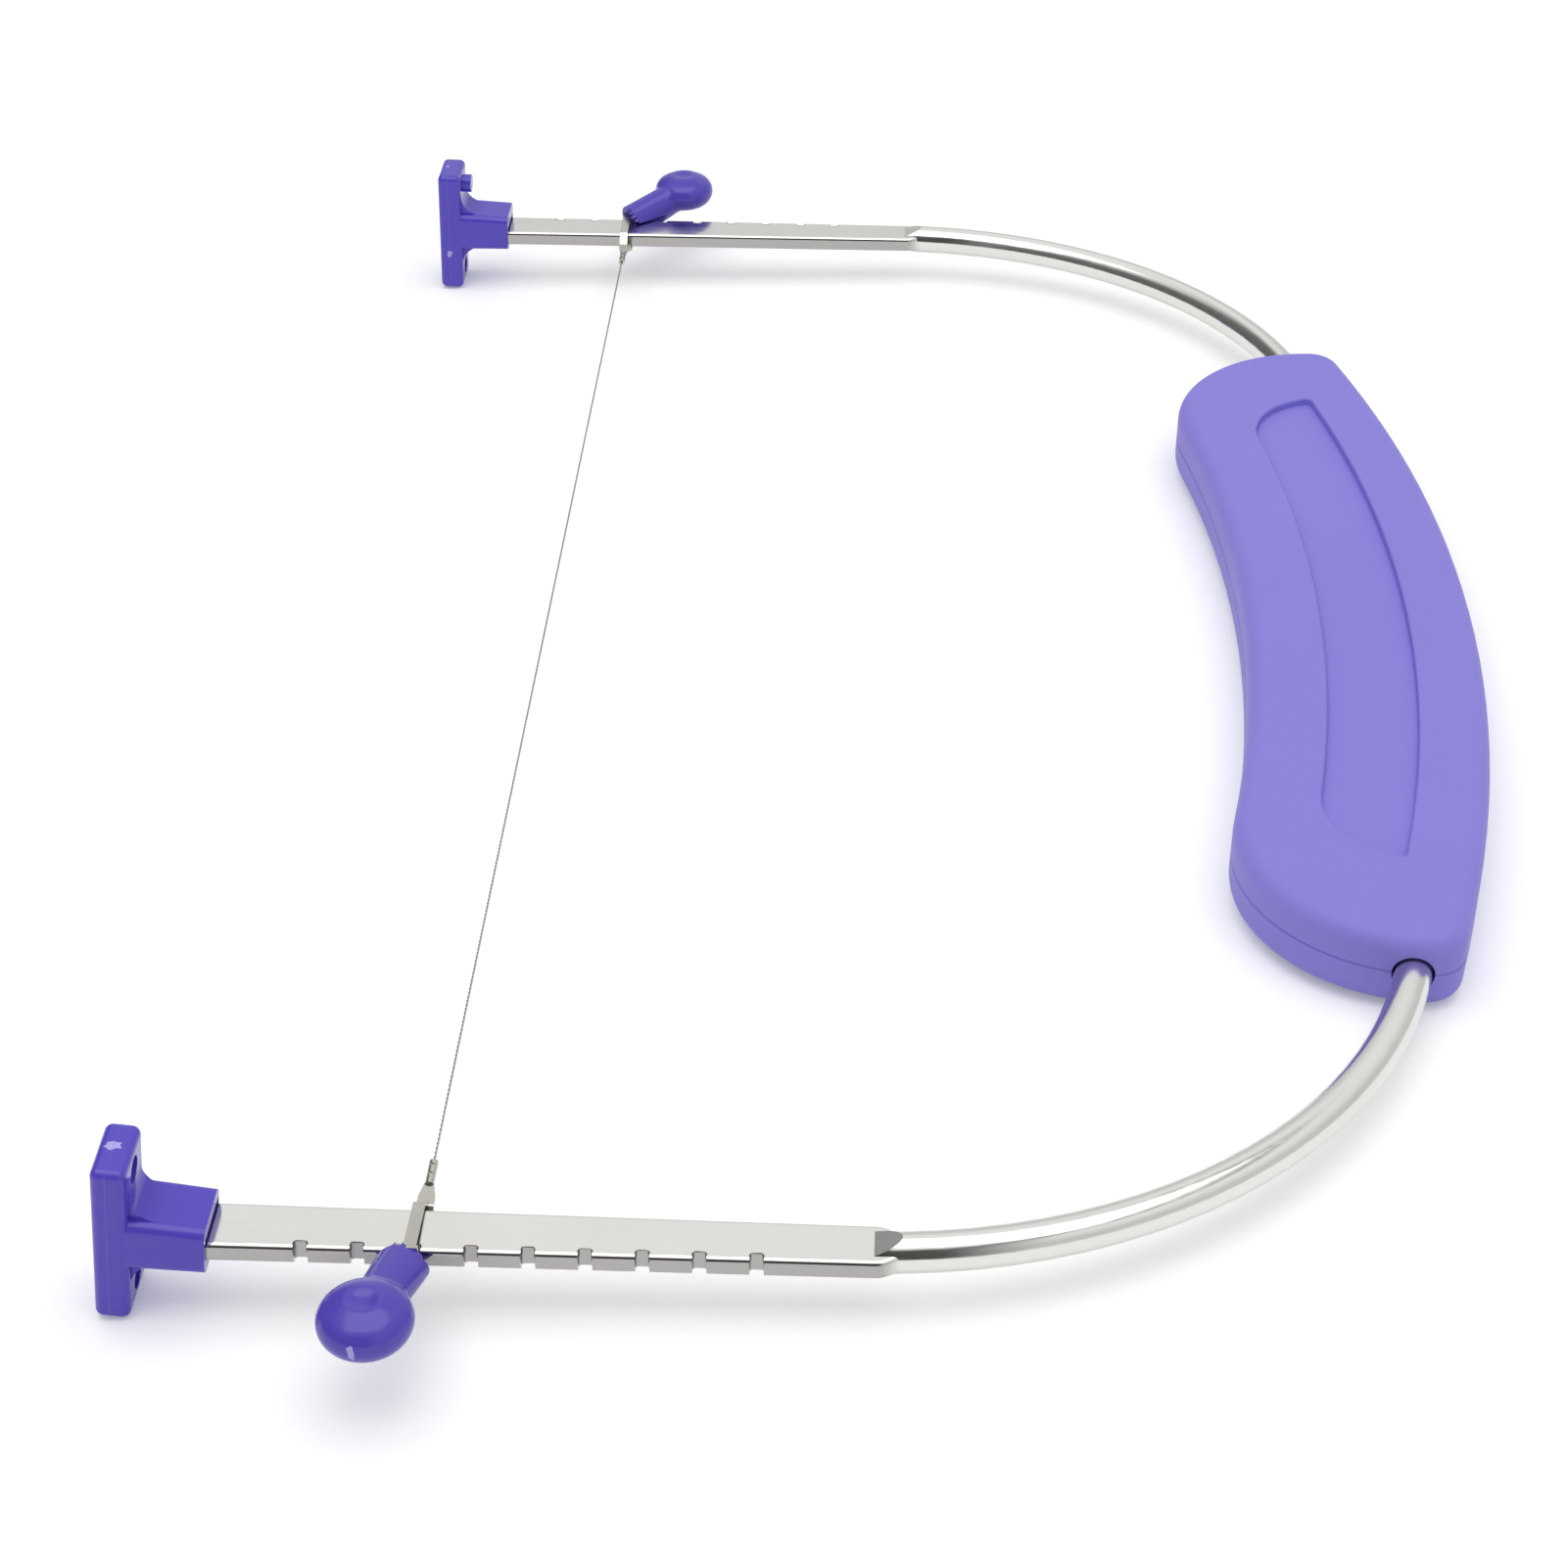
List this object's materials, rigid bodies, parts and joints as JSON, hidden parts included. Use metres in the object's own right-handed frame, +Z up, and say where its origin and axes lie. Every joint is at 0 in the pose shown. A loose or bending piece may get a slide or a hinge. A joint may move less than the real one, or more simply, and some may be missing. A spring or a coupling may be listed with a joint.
{
  "type": "cake leveler",
  "caption": "Steel bow with two notched flat legs, a moulded handle, feet, and a wire blade held across the legs by clips with knobs.",
  "frame": {"origin": "centre of the bounding box at the height of the surface it lies on", "axes": "+Y across from the near leg to the far leg, +X from the feet towards the handle, +Z up as it lies on its side"},
  "size_m": [0.1722, 0.3054, 0.0221],
  "materials": {
    "bow_steel": "dull plated steel, lightly brushed along the rod",
    "wire_steel": "bare twisted wire",
    "clip_steel": "thin plated sheet",
    "handle_plastic": "satin violet moulding",
    "foot_plastic": "glossy violet moulding",
    "knob_plastic": "glossy violet moulding"
  },
  "bodies": {
    "bow": {"bow_rod": "bow_steel", "handle_upper_shell": "handle_plastic", "handle_lower_shell": "handle_plastic", "near_foot": "foot_plastic", "far_foot": "foot_plastic"},
    "wire": {"cutting_wire": "wire_steel"},
    "near_end": {"near_clip": "clip_steel", "near_knob": "knob_plastic"},
    "far_end": {"far_clip": "clip_steel", "far_knob": "knob_plastic"}
  },
  "joints": [
    {"name": "height_slide", "type": "slide", "parent": "bow", "child": "wire", "axis": [0.9996, 0, -0.0267], "range_m": [-0.0127, 0.0381]},
    {"name": "near_clip_seat", "type": "slide", "parent": "wire", "child": "near_end", "axis": [0, 1, 0], "range_m": [0, 0.0012]},
    {"name": "far_clip_seat", "type": "slide", "parent": "wire", "child": "far_end", "axis": [0, -1, 0], "range_m": [0, 0.0012]}
  ]
}
